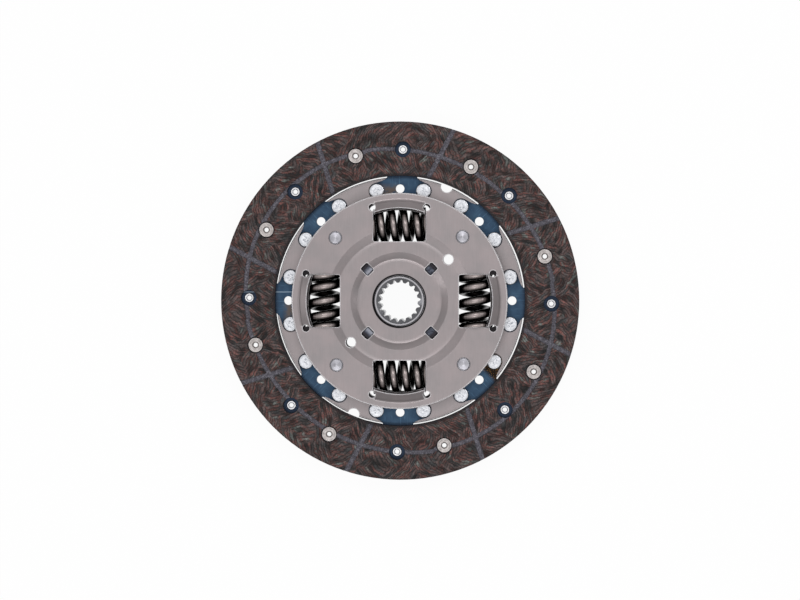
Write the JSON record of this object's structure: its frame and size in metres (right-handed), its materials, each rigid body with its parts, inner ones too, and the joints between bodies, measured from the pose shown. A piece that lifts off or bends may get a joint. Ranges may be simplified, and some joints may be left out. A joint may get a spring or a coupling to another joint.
{
  "type": "clutch disc",
  "caption": "Round clutch disc: a splined hub sprung by coils between riveted plates, with spring segments carrying a grooved friction facing on each side.",
  "frame": {"origin": "on the hub's axis, at the end face of its long boss", "axes": "+Z along the hub's axis towards the retaining plate, the side the picture shows; +X to the right and +Y up in the picture"},
  "size_m": [0.19, 0.19, 0.0254],
  "materials": {
    "hub": "machined, oiled, satin",
    "plates": "pressed, satin",
    "facing": "ground, wound yarn in resin",
    "friction_washer": "matte",
    "thrust_ring": "blued, satin",
    "cone_spring": "satin",
    "bush": "matte",
    "bright_rivets": "zinc plated",
    "facing_rivets": "drawn, satin",
    "stop_pins": "turned, satin",
    "blued_steel": "heat blued, satin",
    "spring_steel": "black, glossy"
  },
  "bodies": {
    "hub": {"hub": "hub"},
    "disc": {"disc_plate": "plates", "retaining_plate": "plates", "cushion_segment_1": "blued_steel", "cushion_segment_2": "blued_steel", "cushion_segment_3": "blued_steel", "cushion_segment_4": "blued_steel", "cushion_segment_5": "blued_steel", "cushion_segment_6": "blued_steel", "cushion_segment_7": "blued_steel", "cushion_segment_8": "blued_steel", "front_facing": "facing", "back_facing": "facing", "front_friction_washer": "friction_washer", "back_friction_washer": "friction_washer", "thrust_ring": "thrust_ring", "cone_spring": "cone_spring", "hub_bush": "bush", "segment_rivets": "bright_rivets", "front_facing_rivets": "facing_rivets", "back_facing_rivets": "facing_rivets", "stop_pins": "stop_pins"},
    "spring_1": {"spring_1": "spring_steel"},
    "spring_2": {"spring_2": "spring_steel"},
    "spring_3": {"spring_3": "spring_steel"},
    "spring_4": {"spring_4": "spring_steel"}
  },
  "joints": [
    {"name": "damper_twist", "type": "hinge", "parent": "hub", "child": "disc", "pos_m": [0, 0, 0.0156], "axis": [0, 0, 1], "range_deg": [-6.5, 6.5], "stiffness_Nm_per_rad": 2600, "deforming": ["spring_1", "spring_2", "spring_3", "spring_4"]},
    {"name": "spring_1_shift", "type": "hinge", "parent": "hub", "child": "spring_1", "pos_m": [0, 0, 0.0156], "axis": [0, 0, 1], "range_deg": [-3.25, 3.25]},
    {"name": "spring_2_shift", "type": "hinge", "parent": "hub", "child": "spring_2", "pos_m": [0, 0, 0.0156], "axis": [0, 0, 1], "range_deg": [-5, 5]},
    {"name": "spring_3_shift", "type": "hinge", "parent": "hub", "child": "spring_3", "pos_m": [0, 0, 0.0156], "axis": [0, 0, 1], "range_deg": [-3.25, 3.25]},
    {"name": "spring_4_shift", "type": "hinge", "parent": "hub", "child": "spring_4", "pos_m": [0, 0, 0.0156], "axis": [0, 0, 1], "range_deg": [-5, 5]}
  ],
  "couplings": [
    {"joint": "spring_1_shift", "follows": "damper_twist", "ratio": 0.5},
    {"joint": "spring_2_shift", "follows": "damper_twist", "ratio": 0.769},
    {"joint": "spring_3_shift", "follows": "damper_twist", "ratio": 0.5},
    {"joint": "spring_4_shift", "follows": "damper_twist", "ratio": 0.769}
  ]
}
